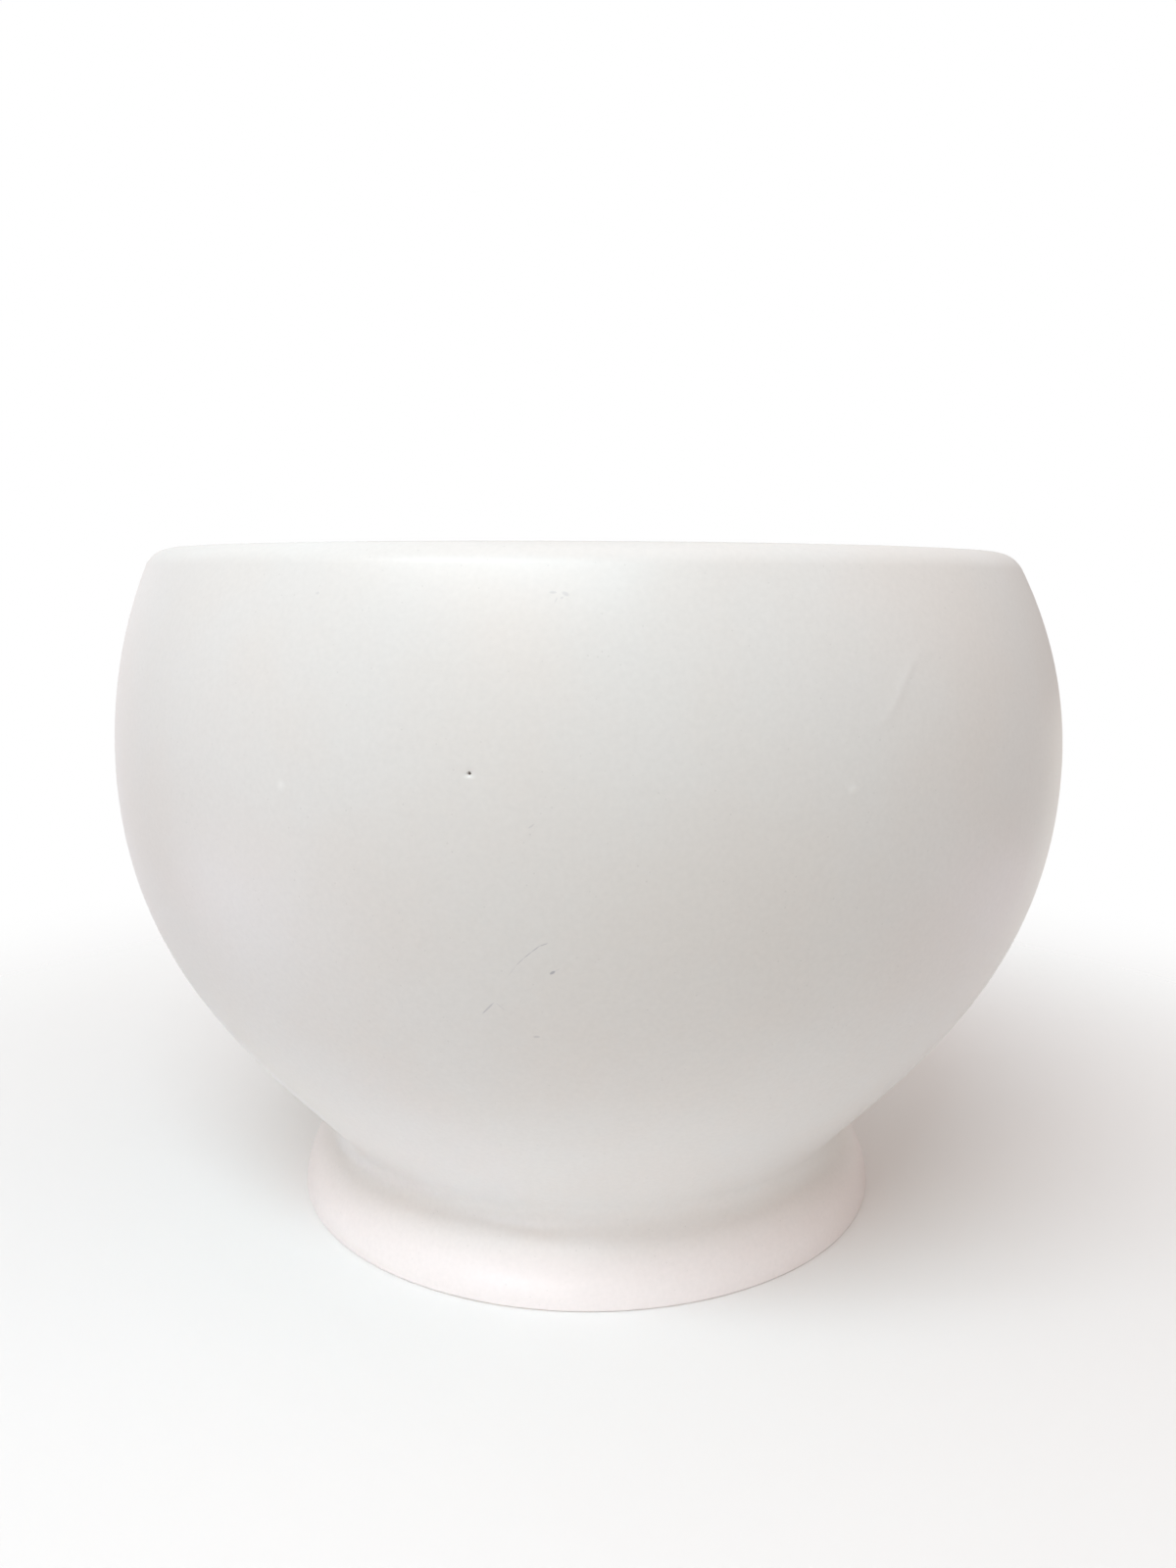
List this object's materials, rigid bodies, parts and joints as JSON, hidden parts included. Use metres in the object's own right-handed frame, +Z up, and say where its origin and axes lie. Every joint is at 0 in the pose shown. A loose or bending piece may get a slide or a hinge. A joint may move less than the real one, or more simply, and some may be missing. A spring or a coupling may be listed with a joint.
{
  "type": "bowl vase",
  "caption": "White satin-glazed ceramic bowl vase: a round belly leaning in to a wide rounded mouth, on a low flared foot ring, to hold water and flowers.",
  "frame": {"origin": "centre of the circle that the foot stands on, at table height", "axes": "+Z up along the axis that the vase is turned about; -Y is the side seen in the picture, +X to its right"},
  "size_m": [0.2, 0.2, 0.141],
  "materials": {
    "glaze": "satin-matt white glaze",
    "slip": "fired clay slip under the glaze"
  },
  "bodies": {
    "root": {"bowl": "glaze", "foot_ring": "glaze", "slip_joint": "slip"}
  },
  "joints": []
}
